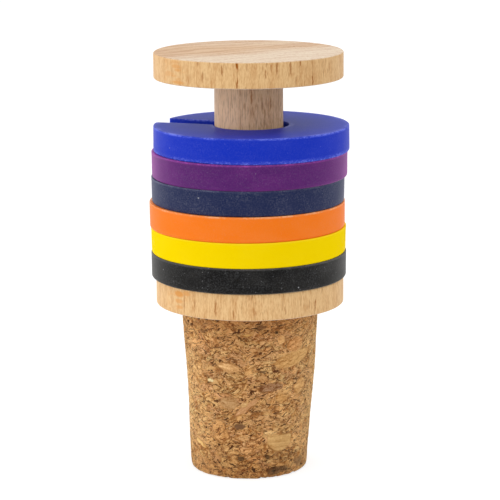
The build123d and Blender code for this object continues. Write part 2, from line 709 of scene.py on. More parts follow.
    def placed(self, bench: Bench, marks: Sequence[Mark]) -> Socket:
        """Mask of the listed marks, on the turned face unrolled."""
        here = bench.here()
        right, back, up = bench.parts(here)
        turn = bench.calc("ARCTAN2", right, bench.times(back, -1.0))
        arc = bench.times(turn, self.distance_out(bench))
        fray = bench.calc("SUBTRACT", bench.noise(bench.stretch(here), self.fray), NOISE_MIDDLE)
        arc = bench.scaled(fray, self.fray_reach, arc)
        unrolled = bench.put("CombineXYZ", {0: arc, 1: up}).outputs[0]
        ovals = []
        for mark in marks:
            low, high = self.spindle_span
            on_spindle = low < mark.height < high
            radius = self.spindle_radius if on_spindle else self.flange_radius
            centre = math.radians(mark.azimuth) * radius, mark.height
            wider, longer = self.mark_swell
            size = wider * mark.half_width, longer * mark.half_length
            ovals.append(bench.oval(unrolled, centre, size, mark.depth))
        return bench.most(*ovals)

    def placed_spots(self, bench: Bench) -> Socket:
        """Mask of the small marks on the end grain."""
        plane = bench.stretch(bench.here())(1.0, 1.0, 0.0)
        return bench.most(
            *[
                bench.oval(plane, (s.x, s.y), (s.half_width, s.half_length), s.depth)
                for s in self.spots
            ]
        )

    def along_grain(self, bench: Bench, bend: float = 0.0) -> Stretch:
        """Coordinates that run along the growth, along the rings and up the fibres.

        Args:
            bench: Where the nodes go.
            bend: Degrees by which the rings have turned.

        Returns:
            A function of three scales, in waves to a millimetre, that gives a socket.
        """
        return bench.stretch(bench.here(self.radial + bend))

    def late_wood(self, bench: Bench, along: Stretch, rise: Rise) -> Socket:
        """Mask of the darker band that closes each year's growth.

        Args:
            bench: Where the nodes go.
            along: Coordinates along the grain, as along_grain gives them.
            rise: Where in the year's growth the dark begins and where it is full.

        Returns:
            The mask's socket.
        """
        count = bench.parts(along(1 / self.ring_width, 1.0, 1.0))[0]
        count = bench.scaled(bench.noise(along, self.ring_warp), self.ring_warp_reach, count)
        wobble = bench.noise(along, self.ring_wobble)
        count = bench.scaled(wobble, self.ring_wobble_reach, count)
        part = bench.calc("FRACT", count)
        return bench.times(bench.step(part, rise), bench.step(part, self.winter))

    def turned_normal(self, bench: Bench) -> Socket:
        """The surface's normal, along the growth, along the rings and up."""
        normal = bench.put("TexCoord").outputs["Normal"]
        inputs = {"Vector": normal, "Rotation": (0.0, 0.0, math.radians(-self.radial))}
        return bench.put("Mapping", inputs).outputs[0]


@dataclass(frozen=True)
class CorkFinish:
    """Ground agglomerated cork, coloured granule by granule.

    A light says by how much the granule's colour is multiplied.
    """

    depth: Colour = (0.76, 1.28, 1.90)  # how fast red, green and blue fade in the dark
    roughness: float = 0.9
    gloss: float = 0.05
    sheen: float = 0.80
    sheen_roughness: float = 0.6
    sheen_tint: Colour = (1.0, 0.68, 0.33)
    relief: Pair = (0.08, 0.45)  # the height of the grain and the share of it that shows

    # Read in the granule's own axes
    streak: Wave = Wave((0.32, 1.3, 3.1), 3.0, 0.6)
    streak_light: Rise = Rise(0.32, 0.66, 0.81, 1.06)
    stroke: Wave = Wave((0.65, 1.2, 2.3))
    swirl: Wave = Wave((1.6, 1.6, 2.4))  # bends the flakes that a granule is made of
    swirl_reach: float = 1.05
    flake_stretch: Triple = (1.0, 1.0, 1.4)
    flake_scale: float = 0.85
    flake_light: Rise = Rise(0.0, 1.0, 0.89, 1.06)
    # painted highlight on some flakes and streaks
    bright_flake: Rise = Rise(0.80, 0.90)
    bright_streak: Rise = Rise(0.46, 0.58)
    painted_highlight: float = 0.08

    # Read on the plug
    speckle: Wave = Wave((3.6, 3.6, 4.4), 2.0, 0.6)
    speckle_light: Rise = Rise(0.30, 0.70, 0.87, 1.09)
    speckle_height: float = 0.8
    # darker towards the tip, and painted shadow under the base flange
    foot_light: Rise = Rise(0.3, 7.0, 0.74, 1.0)
    top_light: Rise = Rise(21.5, 27.0, 1.0, 0.74)
    least_light: float = 0.02

    # Cracks along the flakes' borders, wandering fissures, nicks and pits, all darkened as
    # painted shade
    crack_edge: Rise = Rise(0.10, 0.03)
    torn: Wave = Wave((0.9, 0.9, 1.3), 2.0, 0.6)
    torn_rise: Rise = Rise(0.42, 0.60)
    crack_depth: float = 0.78
    fissure: Wave = Wave((0.28, 0.80, 1.55), 2.0, 0.55)
    fissure_edge: Rise = Rise(0.032, 0.010)
    fissure_part: Rise = Rise(0.44, 0.57)
    nick_rise: Rise = Rise(0.620, 0.65)
    nick_depth: float = 0.92
    hole: Wave = Wave((1.25, 1.25, 2.7), 1.0)
    hole_rise: Rise = Rise(0.675, 0.71)
    hole_depth: float = 1.12
    worn_foot: Rise = Rise(4.0, 0.8, 0.0, 0.035)  # more pits near the tip
    darkening: float = -1.04  # painted shade: how far the light falls in the deepest
    crack_sink: float = 1.2
    pit_sink: float = 1.6

    def material(self) -> bpy.types.Material:
        """Makes the material."""
        bench = Bench.for_material("agglomerated_cork")
        on_plug = bench.stretch(bench.here())
        up = bench.parts(bench.here())[2]
        within = bench.stretch(bench.layer("grain", "Vector"))
        cracked = bench.calc("SUBTRACT", 1.0, bench.layer("plain"))
        streak = bench.noise(within, self.streak)
        stroke = bench.noise(within, self.stroke)
        speckle = bench.noise(on_plug, self.speckle)
        bent = bench.shaded(bench.noise(on_plug, self.swirl, "Color"), self.swirl_reach)
        bent = bench.vector("ADD", bent, bench.layer("grain", "Vector"))
        flakes = {
            "Vector": bench.vector("MULTIPLY", bent, self.flake_stretch),
            "Scale": self.flake_scale,
            "Randomness": 1.0,
        }
        tone = bench.channels(bench.put("TexVoronoi", flakes).outputs["Color"])
        rim = bench.put("TexVoronoi", flakes, feature="DISTANCE_TO_EDGE").outputs["Distance"]

        crack = bench.times(
            bench.step(rim, self.crack_edge),
            bench.noise_step(on_plug, self.torn, self.torn_rise),
            self.crack_depth,
        )
        vein = bench.noise(bench.stretch(bent), self.fissure)
        vein = bench.calc("ABSOLUTE", bench.calc("SUBTRACT", vein, NOISE_MIDDLE))
        fissure = bench.times(
            bench.step(vein, self.fissure_edge), bench.step(stroke, self.fissure_part)
        )
        nick = bench.times(bench.step(stroke, self.nick_rise), self.nick_depth)
        small = bench.times(bench.most(crack, fissure, nick), cracked)
        hole = bench.plus(bench.noise(on_plug, self.hole), bench.step(up, self.worn_foot))
        pit = bench.times(bench.step(hole, self.hole_rise), cracked)
        # painted shade in the grooves between granules, the cracks and the pits
        deep = bench.most(bench.layer("crevice_shade"), small, bench.times(pit, self.hole_depth))

        # painted highlight on some flakes and streaks
        bright = bench.times(
            bench.step(tone[1], self.bright_flake), bench.step(streak, self.bright_streak)
        )
        light = bench.times(
            bench.step(streak, self.streak_light),
            bench.step(speckle, self.speckle_light),
            bench.step(tone[0], self.flake_light),
            bench.scaled(bright, self.painted_highlight, 1.0),
            bench.scaled(deep, self.darkening, 1.0),
            # darker towards the tip, and painted shadow under the base flange
            bench.step(up, self.foot_light),
            bench.step(up, self.top_light),
        )
        light = bench.most(light, self.least_light)
        tinted = [
            bench.times(part, bench.calc("POWER", light, power))
            for part, power in zip(bench.channels(bench.layer("granule", "Color")), self.depth)
        ]
        colour = bench.put("CombineColor", dict(enumerate(tinted))).outputs[0]

        height = bench.scaled(speckle, self.speckle_height, streak)
        height = bench.calc("SUBTRACT", height, bench.times(small, self.crack_sink))
        height = bench.calc("SUBTRACT", height, bench.times(pit, self.pit_sink))
        shader = bench.put(
            "BsdfPrincipled",
            {
                "Base Color": colour,
                "Roughness": self.roughness,
                "Diffuse Roughness": 1.0,
                "Specular IOR Level": self.gloss,
                "Sheen Weight": self.sheen,
                "Sheen Roughness": self.sheen_roughness,
                "Sheen Tint": (*self.sheen_tint, 1.0),
                "Normal": bench.bump(height, *self.relief),
            },
        )
        return bench.finish(shader.outputs[0])


@dataclass(frozen=True)
class Dust:
    """Grains of dust, at most one to a cell of space."""

    cells: float  # to a millimetre
    size: float  # a grain's size, as a share of its cell
    rarity: float  # share of the cells that have no grain
    edge: Rise = Rise(1.0, 0.55)

    def mask(self, bench: Bench, place: Stretch) -> Socket:
        """Mask of the grains, which is 1 on a grain.

        Args:
            bench: Where the nodes go.
            place: The surface's coordinates.

        Returns:
            The mask's socket.
        """
        vector = place(self.cells, self.cells, self.cells)
        cells = bench.put("TexVoronoi", {"Vector": vector, "Scale": 1.0}).outputs
        chance = bench.channels(cells["Color"])
        reach = bench.times(chance[0], self.size * 2)
        kept = bench.calc("GREATER_THAN", chance[1], self.rarity)
        distance = bench.calc("DIVIDE", cells["Distance"], reach)
        return bench.times(bench.step(distance, self.edge), kept)


@dataclass(frozen=True)
class SiliconeFinish:
    """Dyed silicone, half matt, with rubbed edges and dust that clings to it."""

    body: Colour
    rubbed: Colour
    dust: float = 0.25  # how much dust shows, from 0 to 1
    film: float = 0.17  # how much of that is a film of powder, beside the grains
    rub: float = 0.5  # how much the edges are rubbed, from 0 to 1
    haze: float = 0.03  # pale bloom at a grazing angle
    gloss: float = 0.10
    roughness: float = 0.42
    haze_roughness: float = 0.5
    dust_colour: Colour = (0.62, 0.63, 0.66)
    glow: float = 0.08  # share of the light that goes in and comes out again
    glow_depth: float = 0.4

    scuff: Wave = Wave((2.4, 2.4, 4.0), 4.0, 0.7)
    scuff_share: float = 0.6
    smear: Wave = Wave((0.30, 0.30, 0.30))
    worn: Pair = (0.47, 0.58)  # where the rubbing begins and where it is full
    least_rub: float = 0.14
    cloud: Wave = Wave((0.22, 0.22, 0.35), 3.0)
    cloud_rise: Rise = Rise(0.4, 0.75, 0.0, 0.035)
    mottle: Wave = Wave((5.0, 5.0, 5.0))
    mottle_rise: Rise = Rise(0.45, 0.75, 0.0, 0.03)
    powder: Wave = Wave((4.2, 4.2, 4.6), 2.0, 0.6)
    powder_rise: Rise = Rise(0.42, 0.68)
    drift: Wave = Wave((0.28, 0.28, 0.45))
    drift_rise: Rise = Rise(0.35, 0.65, 0.45, 1.0)
    coarse_dust: Dust = Dust(0.9, 0.08, 0.84)
    fine_dust: Dust = Dust(2.2, 0.15, 0.72)
    fine_share: float = 0.30
    grain: Wave = Wave((7.0, 7.0, 7.0), 3.0)
    dust_height: float = 0.5
    relief: Pair = (0.015, 0.5)  # the height of the grain and the share of it that shows

    def material(self, name: str) -> bpy.types.Material:
        """Makes the material under a name."""
        bench = Bench.for_material(name)
        place = bench.stretch(bench.here())
        worn = bench.scaled(
            bench.noise(place, self.scuff),
            self.scuff_share,
            bench.times(bench.noise(place, self.smear), 1 - self.scuff_share),
        )
        rub = bench.step(worn, Rise(*self.worn, self.least_rub, self.rub))
        share = bench.plus(
            bench.times(bench.layer("edge"), rub),
            bench.noise_step(place, self.cloud, self.cloud_rise),
            bench.noise_step(place, self.mottle, self.mottle_rise),
        )
        colour = bench.blend(share, self.body, self.rubbed)

        powder = bench.times(
            bench.noise_step(place, self.powder, self.powder_rise),
            bench.noise_step(place, self.drift, self.drift_rise),
        )
        fine = bench.times(self.fine_dust.mask(bench, place), self.fine_share)
        dust = bench.most(self.coarse_dust.mask(bench, place), fine)
        shown = bench.times(bench.most(dust, bench.times(powder, self.film)), self.dust)
        colour = bench.blend(shown, colour, self.dust_colour)

        height = bench.scaled(powder, self.dust_height, bench.noise(place, self.grain))
        height = bench.scaled(dust, self.dust_height, height)
        shader = bench.put(
            "BsdfPrincipled",
            {
                "Base Color": colour,
                "Roughness": self.roughness,
                "Specular IOR Level": self.gloss,
                "Subsurface Weight": self.glow,
                "Subsurface Radius": (1.0, 1.0, 1.0),
                "Subsurface Scale": self.glow_depth * MM,
                "Sheen Weight": self.haze,
                "Sheen Roughness": self.haze_roughness,
                "Sheen Tint": (*self.rubbed, 1.0),
                "Normal": bench.bump(height, *self.relief),
            },
        )
        return bench.finish(shader.outputs[0])


class RingColour(Enum):
    """The six rings, from the base flange up."""

    BLACK = "black"
    YELLOW = "yellow"
    ORANGE = "orange"
    NAVY = "navy"
    PURPLE = "purple"
    BLUE = "blue"

    @property
    def finish(self) -> SiliconeFinish:
        """The silicone that this ring is moulded from."""
        return {
            RingColour.BLACK: SiliconeFinish(
                body=(0.0016, 0.0013, 0.0015),
                rubbed=(0.36, 0.35, 0.33),
                dust=0.55,
                film=0.085,
                rub=0.22,
                haze=0.50,
                gloss=0.05,
                roughness=0.48,
            ),
            RingColour.YELLOW: SiliconeFinish(
                body=(0.97, 0.695, 0.0),
                rubbed=(0.98, 0.80, 0.06),
                dust=0.02,
                rub=0.3,
                haze=0.0,
                gloss=0.002,
            ),
            RingColour.ORANGE: SiliconeFinish(
                body=(0.97, 0.206, 0.010),
                rubbed=(1.0, 0.53, 0.28),
                dust=0.14,
                rub=0.75,
                haze=0.006,
                gloss=0.05,
            ),
            RingColour.NAVY: SiliconeFinish(
                body=(0.0110, 0.0185, 0.072),
                rubbed=(0.23, 0.235, 0.35),
                dust=0.44,
                rub=0.40,
                haze=0.23,
                gloss=0.08,
            ),
            RingColour.PURPLE: SiliconeFinish(
                body=(0.080, 0.011, 0.129),
                rubbed=(0.88, 0.16, 0.78),
                dust=0.18,
                rub=0.38,
                haze=0.42,
                gloss=0.09,
            ),
            RingColour.BLUE: SiliconeFinish(
                body=(0.008, 0.033, 0.51),
                rubbed=(0.17, 0.22, 0.86),
                dust=0.14,
                rub=0.9,
                haze=0.004,
                gloss=0.05,
            ),
        }[self]


@dataclass
class MarkerRing:
    """One slotted ring, a little bent and worn, as it lies on the spindle."""

    colour: RingColour
    slot_angle: float
    slot_width: float = 4.0
    trim: float = 0.0  # how far its wall stands inside the solid's
    flare: float = 1.2  # degrees by which the wall draws in below
    lip: float = 0.0  # how far the parting edge stands proud of the wall
    curl: float = 0.0  # how far the arm on the slot's far side bends in at its rim
    droop: float = 0.0  # how far the arm on the slot's near side sags at its corner
    rubbed_below: float = 0.05  # how much its lower edge is rubbed

    bore_diameter: float = 11.9
    corner_round: float = 0.5
    upper_round: float = 0.12
    lower_round: float = 0.3
    lip_edge: Pair = (0.21, 0.42)  # below the upper face
    curl_reach: float = 60.0  # degrees of the far arm that bend
    droop_reach: float = 16.0
    rubbed_edge: Pair = (0.30, 0.04)  # below the upper face
    rubbed_foot: Pair = (0.75, 0.2)  # above the lower face
    rubbed_face: float = 6.0  # how soon the rubbing ends inside the upper face's edge
    swell: tuple[Ripple, ...] = (Ripple(0.02, 7.0), Ripple(0.01, 1.7, 50.0))
    swell_inset: float = 0.014  # keeps the swollen wall inside the solid's
    first_seed: int = 40
    weld: float = 0.002

    # Points and rows of the mesh
    around: int = 400  # along the rim, and as many along the bore
    shoulder_points: int = 18
    corner_points: int = 9
    slot_points: int = 34
    lower_rows: int = 6
    wall_rows: int = 18
    upper_rows: int = 5
    face_rows: int = 8
    face_crowding: float = 1.6  # above 1, the flat faces' rows crowd towards the edge
    same_point: float = 1e-6

    @property
    def node(self) -> str:
        """The solid that this ring replaces."""
        return f"marker_ring_{self.colour.value}"

    def outline(self, rim: float, bore: float) -> tuple[np.ndarray, np.ndarray, np.ndarray]:
        """Outline of the ring's upper face, with its slot along +X.

        Args:
            rim: Radius of the rim.
            bore: Radius of the bore.

        Returns:
            The outline's points, its outward normals, and for each point the place
            on the ring's middle line that the flat faces are drawn towards.
        """
        corner = self.corner_round
        half = self.slot_width / 2
        side = half + corner
        rim_corner = np.array([math.sqrt((rim - corner) ** 2 - side**2), side])
        bore_corner = np.array([math.sqrt((bore + corner) ** 2 - side**2), side])
        rim_start = math.atan2(rim_corner[1], rim_corner[0])
        bore_start = math.atan2(bore_corner[1], bore_corner[0])

        def arc(
            centre: np.ndarray | float,
            radius: float,
            start: float,
            stop: float,
            count: int,
            outward: float = 1.0,
        ) -> tuple[np.ndarray, np.ndarray]:
            """Points and normals along an arc, whose normals point out or, at -1, in."""
            normal = compass(np.linspace(start, stop, count))
            return centre + radius * normal, outward * normal

        down = -math.pi / 2
        wall = np.linspace(rim_corner[0], bore_corner[0], self.slot_points)[1:-1]
        straight = np.stack([wall, np.full(len(wall), half)], axis=1)
        half_turn = self.around // 2
        pieces = [
            arc(0, rim, math.pi, bore_start, half_turn),
            arc(0, rim, bore_start, rim_start, self.shoulder_points),
            arc(rim_corner, corner, rim_start, down, self.corner_points),
            (straight, np.tile([0.0, -1.0], (len(wall), 1))),
            arc(bore_corner, corner, down, bore_start - math.pi, self.corner_points),
            arc(0, bore, bore_start, math.pi, half_turn, -1.0),
        ]
        points = np.concatenate([p for p, _ in pieces])
        normals = np.concatenate([n for _, n in pieces])
        mirror = np.array([1.0, -1.0])
        points = np.concatenate([points, points[::-1] * mirror])
        normals = np.concatenate([normals, normals[::-1] * mirror])
        kept = np.hypot(*(points - np.roll(points, 1, axis=0)).T) > self.same_point
        points, normals = points[kept], normals[kept]
        turn = np.arctan2(points[:, 1], points[:, 0])
        turn = np.sign(turn) * np.maximum(np.abs(turn), bore_start)
        return points, normals, (rim + bore) / 2 * compass(turn)

    def wall_section(self, thickness: float) -> np.ndarray:
        """Section of the wall, from the lower face to the upper.

        Args:
            thickness: The ring's thickness.

        Returns:
            Rows of inset from the outline, height, and how exposed the place is to rubbing.
        """
        turn = np.linspace(0, math.pi / 2, self.lower_rows)
        low = self.lower_round * (1 - np.stack([np.sin(turn), np.cos(turn)], axis=1))
        top = thickness - self.upper_round
        wall = np.linspace(self.lower_round, top, self.wall_rows)[1:-1]
        side = np.stack([np.zeros(len(wall)), wall], axis=1)
        turn = np.linspace(0, math.pi / 2, self.upper_rows)
        inset, rise = 1 - np.cos(turn), np.sin(turn)
        high = np.stack([self.upper_round * inset, top + self.upper_round * rise], axis=1)
        section = np.concatenate([low, side, high])
        depth = thickness - section[:, 1]
        under_lip = smooth_step(*self.lip_edge, depth)
        taper = math.tan(math.radians(self.flare))
        section[:, 0] += self.trim + depth * taper + self.lip * under_lip
        below = self.rubbed_below * smooth_step(*self.rubbed_foot, section[:, 1])
        rubbed = np.maximum(smooth_step(*self.rubbed_edge, depth), below)
        return np.column_stack([section, rubbed])

    def bend(self, flat: np.ndarray, height: np.ndarray, rim: float, bore: float) -> None:
        """Bends the arms at the slot in place: the far one curls in, the near one sags.

        Args:
            flat: The points' places in the plane, with the slot along +X.
            height: The points' heights.
            rim: Radius of the rim.
            bore: Radius of the bore.
        """
        radius = np.hypot(flat[:, 0], flat[:, 1])
        turn = np.degrees(np.arctan2(flat[:, 1], flat[:, 0]))
        outward = np.clip((radius - bore) / (rim - bore), 0, 1)
        far = np.where(turn < 0, np.clip(1 + turn / self.curl_reach, 0, 1), 0) ** 2
        flat *= (1 - self.curl * far * outward / radius)[:, None]
        near = np.where(turn > 0, np.clip(1 - turn / self.droop_reach, 0, 1), 0) ** 2
        height -= self.droop * near * outward**2

    def rows(self, rim: float, bore: float, thickness: float) -> list[tuple]:
        """Closed rows of points from the lower face's middle, round the wall, to the upper's.

        Args:
            rim: Radius of the rim.
            bore: Radius of the bore.
            thickness: The ring's thickness.

        Returns:
            For each row its points in the plane, its height and how rubbed it is.
        """
        outline, normals, middle = self.outline(rim, bore)
        section = self.wall_section(thickness)
        crowded = np.linspace(0, 1, self.face_rows, endpoint=False) ** self.face_crowding
        inward = 1 - crowded
        lower, upper = (outline - inset * normals for inset in (section[0, 0], section[-1, 0]))
        rows = [(lower + (middle - lower) * share, 0.0, 0.0) for share in inward]
        rows += [(outline - inset * normals, height, wear) for inset, height, wear in section]
        for share in inward[::-1]:
            wear = max(0.0, 1 - self.rubbed_face * share)
            rows.append((upper + (middle - upper) * share, section[-1, 1], wear))
        return rows

    def build(self) -> bpy.types.Object:
        """Makes the ring's mesh and dresses it."""
        low, high = node_box(self.node)
        centre = (low + high) / 2
        rim = (high.x - low.x) / 2
        bore = self.bore_diameter / 2
        rows, heights, rubbed = zip(*self.rows(rim, bore, high.z - low.z))
        count = len(rows[0])
        flat = np.concatenate(rows)
        height = np.repeat(np.array(heights), count)
        self.bend(flat, height, rim, bore)
        cos, sin = (f(math.radians(self.slot_angle)) for f in (math.cos, math.sin))
        along, across = flat.T
        turned = np.stack([along * cos - across * sin, along * sin + across * cos], axis=1)
        points = np.column_stack([turned + [centre.x, centre.y], height + low.z])

        noise = SoftNoise(self.first_seed + list(RingColour).index(self.colour))
        swell = noise.layered(points, *self.swell) - self.swell_inset
        outward = np.column_stack([turned, np.zeros(len(turned))])
        outward /= np.linalg.norm(outward, axis=1)[:, None]
        radius = np.hypot(along, across)
        points += outward * (swell * smooth_step((rim + bore) / 2, rim, radius))[:, None]
        piece = make_piece(
            f"silicone_ring_{self.colour.value}",
            self.node,
            f"{self.colour.value}_silicone",
            points,
            grid_faces(len(rows), count),
            {"edge": np.repeat(np.array(rubbed), count)},
            self.weld,
        )
        piece.data.materials.append(self.colour.finish.material(f"silicone_{self.colour.value}"))
        return piece


@dataclass(frozen=True)
class Granule:
    """One listed granule of cork, seen on the plug's side."""

    azimuth: float  # degrees from the front, towards the right
    height: float
    size: Pair  # half its length and half its width
    tilt: float  # degrees by which its length rises to the right
    colour: Colour
    plain: float = 1.0  # 1 where it has no cracks
    cut: float = 2.0  # where it is cut straight above its middle, in half widths


@dataclass
class GranuleField:
    """Cork granules pressed together, as cells that grow from seeded points."""

    seed: int = 11
    reach: float = 12.4
    bottom: float = -1.6
    top: float = 28.8
    core_bottom: float = 2.5  # above it, no granules grow deep inside
    volume: float = 2.3  # cubic millimetres to a granule
    neighbours: int = 12
    stretch: Triple = (1.8, 1.0, 0.48)  # length, width and thickness
    size_spread: float = 0.34
    shape_spread: float = 0.18
    shade_spread: float = 0.05
    length_tilt: float = 0.42
    flat_tilt: float = 0.35
    warp: tuple[Ripple, ...] = (Ripple(0.26, 0.8, 37.0), Ripple(0.12, 0.33, -23.0))
    placed_warp: Pair = (1.1, -0.8)  # for a cracked granule, and what a plain one adds
    placed_depth: float = 4.0  # the radius beyond which a listed granule lies
    placed_fineness: float = 1.6  # how much finer its grain is across
    placed_shift: float = 7.0  # where in the noises each granule's grain is read
    palette: tuple[Colour, ...] = (
        (0.93, 0.617, 0.270),
        (0.92, 0.596, 0.254),
        (0.90, 0.580, 0.247),
        (0.93, 0.632, 0.286),
        (0.90, 0.570, 0.258),
        (0.87, 0.539, 0.241),
        (0.82, 0.491, 0.233),
        (0.91, 0.585, 0.277),
        (0.95, 0.669, 0.313),
        (0.89, 0.539, 0.233),
    )
    placed: tuple[Granule, ...] = (
        Granule(30.3, 6.5, (2.25, 2.2), -4, (0.81, 0.520, 0.208), cut=0.32),
        Granule(41.5, 19.5, (3.7, 1.20), 10, (0.84, 0.515, 0.195), plain=0.6),
        Granule(-9.2, 8.8, (0.95, 0.50), 6, (0.25, 0.120, 0.060), plain=0.8),
        Granule(-4.2, 11.9, (2.5, 0.46), 38, (0.79, 0.460, 0.222), plain=0.9),
        Granule(-6.1, 12.5, (0.50, 0.42), 0, (0.84, 0.555, 0.248)),
        Granule(-39.1, 16.0, (0.80, 0.32), 4, (1.00, 0.900, 0.560)),
        Granule(-41.5, 15.55, (0.40, 0.12), 4, (0.10, 0.040, 0.012)),
        Granule(27.0, 22.9, (0.66, 0.76), 0, (1.00, 0.665, 0.305), plain=0.8),
        Granule(42.3, 21.8, (1.7, 1.20), 12, (0.89, 0.500, 0.200), plain=0.45),
        Granule(-19.9, 12.7, (1.5, 1.05), 0, (0.70, 0.430, 0.196), plain=0.5),
        Granule(-19.8, 18.5, (1.9, 0.72), -8, (0.96, 0.630, 0.295), plain=0.7),
        Granule(19.1, 15.1, (1.9, 0.72), 4, (0.50, 0.270, 0.140), plain=0.3),
        Granule(-28.5, 7.8, (1.3, 1.9), 25, (0.90, 0.525, 0.205), plain=0.0),
        Granule(30.2, 13.2, (1.3, 0.85), 0, (0.88, 0.545, 0.210), plain=0.3),
        Granule(-8.0, 3.5, (0.60, 0.40), 0, (0.16, 0.075, 0.030)),
        Granule(18.0, 3.6, (0.40, 0.35), 0, (0.14, 0.065, 0.025)),
        Granule(29.0, 1.2, (2.00, 0.55), 4, (0.25, 0.120, 0.055), plain=0.0),
        Granule(56.6, 1.8, (1.10, 0.75), 0, (0.36, 0.180, 0.080), plain=0.0),
        Granule(-65.3, 2.2, (0.30, 0.32), 0, (0.20, 0.090, 0.040)),
        Granule(8.0, 25.2, (1.00, 0.48), 0, (0.36, 0.175, 0.075), plain=0.0),
        Granule(-43.5, 24.0, (0.85, 0.36), 0, (0.32, 0.150, 0.060), plain=0.0),
        Granule(22.7, 24.2, (0.27, 0.25), 0, (0.08, 0.035, 0.015)),
        Granule(-2.8, 23.9, (0.80, 0.20), 6, (0.96, 0.680, 0.270)),
        Granule(10.8, 17.9, (0.65, 0.15), 0, (0.16, 0.070, 0.030)),
        Granule(50.0, 14.7, (1.40, 1.20), 20, (0.91, 0.560, 0.225), plain=0.4),
        Granule(-53.2, 5.0, (1.6, 0.42), -20, (0.98, 0.680, 0.270)),
    )

    def grow(self, points: np.ndarray) -> dict[str, np.ndarray]:
        """Finds the granule at each point.

        Args:
            points: Places on the cork, in millimetres.

        Returns:
            For each point, the granule's colour, its coordinates in the granule's own
            axes, its distance from the granule's border, and how free of cracks it is.
        """
        rng = np.random.default_rng(self.seed)
        seeds = self.scattered(rng)
        count = len(seeds)
        weight = np.exp(rng.normal(0, self.size_spread, count))
        axes = self.tilted_axes(rng, count)
        shape = np.array(self.stretch) * np.exp(rng.normal(0, self.shape_spread, (count, 3)))
        shade = np.array(self.palette)[rng.integers(0, len(self.palette), count)]
        shade = shade * np.exp(rng.normal(0, self.shade_spread, (count, 1)))

        noise = SoftNoise(self.seed + 1)
        axis_warps = [noise.layered(points, *self.warp, away=axis) for axis in (1, 2, 3)]
        warp = np.stack(axis_warps, axis=1)
        warped = points + warp
        near = self.nearest(seeds, warped)
        offset = warped[:, None, :] - seeds[near]
        local = np.einsum("pkij,pki->pkj", axes[near], offset)
        local /= shape[near] * weight[near][..., None]
        distance = np.linalg.norm(local, axis=2)
        order = np.argsort(distance, axis=1)[:, :2]
        rows = np.arange(len(points))
        first, second = near[rows, order[:, 0]], near[rows, order[:, 1]]
        closest, next_one = distance[rows, order[:, 0]], distance[rows, order[:, 1]]
        gap = (next_one - closest) / (1 / weight[first] + 1 / weight[second])
        grain = local[rows, order[:, 0]] * weight[first][:, None]
        grown = {"colour": shade[first], "grain": grain, "gap": gap}
        grown["plain"] = np.zeros(len(points))
        for number, granule in enumerate(self.placed):
            cracked, plainer = self.placed_warp
            shifted = points + (cracked + plainer * granule.plain) * warp
            self.set_in(granule, number, shifted, grown)
        return grown

    def scattered(self, rng: np.random.Generator) -> np.ndarray:
        """Points that the granules grow from, none of them deep inside the plug."""
        count = int(math.pi * self.reach**2 * (self.top - self.bottom) / self.volume)
        radius = self.reach * np.sqrt(rng.uniform(0, 1, count))
        turn = rng.uniform(0, 2 * math.pi, count)
        height = rng.uniform(self.bottom, self.top, count)
        kept = (radius >= self.reach / 2) | (height <= self.core_bottom)
        return np.column_stack([radius[:, None] * compass(turn), height])[kept]

    def nearest(self, seeds: np.ndarray, points: np.ndarray) -> np.ndarray:
        """For each point, the numbers of the seeds that lie nearest."""
        tree = KDTree(len(seeds))
        for index, seed in enumerate(seeds.tolist()):
            tree.insert(seed, index)
        tree.balance()
        found = (tree.find_n(point, self.neighbours) for point in points.tolist())
        return np.array([[index for _, index, _ in hits] for hits in found])

    def tilted_axes(self, rng: np.random.Generator, count: int) -> np.ndarray:
        """Axes of the granules, which lie mostly flat.

        Args:
            rng: The random numbers.
            count: How many granules there are.

        Returns:
            For each granule, a matrix whose columns are its length, width and thickness.
        """
        turn = rng.uniform(0, math.pi, count)
        rise = rng.normal(0, self.length_tilt, count)
        flat = np.column_stack([compass(turn), rise])
        long = flat / np.linalg.norm(flat, axis=1)[:, None]
        lean = [rng.normal(0, self.flat_tilt, count) for _ in range(2)]
        wide = np.cross(np.stack([*lean, np.ones(count)], axis=1), long)
        wide /= np.linalg.norm(wide, axis=1)[:, None]
        return np.stack([long, wide, np.cross(long, wide)], axis=2)

    def set_in(
        self, granule: Granule, number: int, points: np.ndarray, grown: dict[str, np.ndarray]
    ) -> None:
        """Sets a listed granule in among the others, in place.

        Args:
            granule: The granule.
            number: Its place in the list, which sets where its grain is read.
            points: Places on the cork, warped.
            grown: What grow has found at each of them.
        """
        turn, tilt = math.radians(granule.azimuth), math.radians(granule.tilt)
        outward = np.array([math.sin(turn), -math.cos(turn), 0.0])
        right = np.array([math.cos(turn), math.sin(turn), 0.0])
        long = right * math.cos(tilt) + np.array([0.0, 0.0, math.sin(tilt)])
        wide = np.cross(outward, long)
        radius = points @ outward
        along = points @ long - granule.height * math.sin(tilt)
        across = (points - [0, 0, granule.height]) @ wide
        reach = np.hypot(along / granule.size[0], across / granule.size[1])
        above = 1 + np.abs(across) / granule.size[1] - granule.cut
        reach = np.where(across * wide[2] > 0, np.maximum(reach, above), reach)
        border = (reach - 1) * min(granule.size)
        front = radius > self.placed_depth
        inside = front & (border < 0)
        fine = np.stack([along, radius, across * self.placed_fineness], axis=1)
        grown["colour"][inside] = granule.colour
        grown["grain"][inside] = fine[inside] + self.placed_shift * number
        grown["plain"][inside] = granule.plain
        gap = grown["gap"]
        outside = np.minimum(gap, np.abs(border))
        gap[front] = np.where(inside, -border, outside)[front]


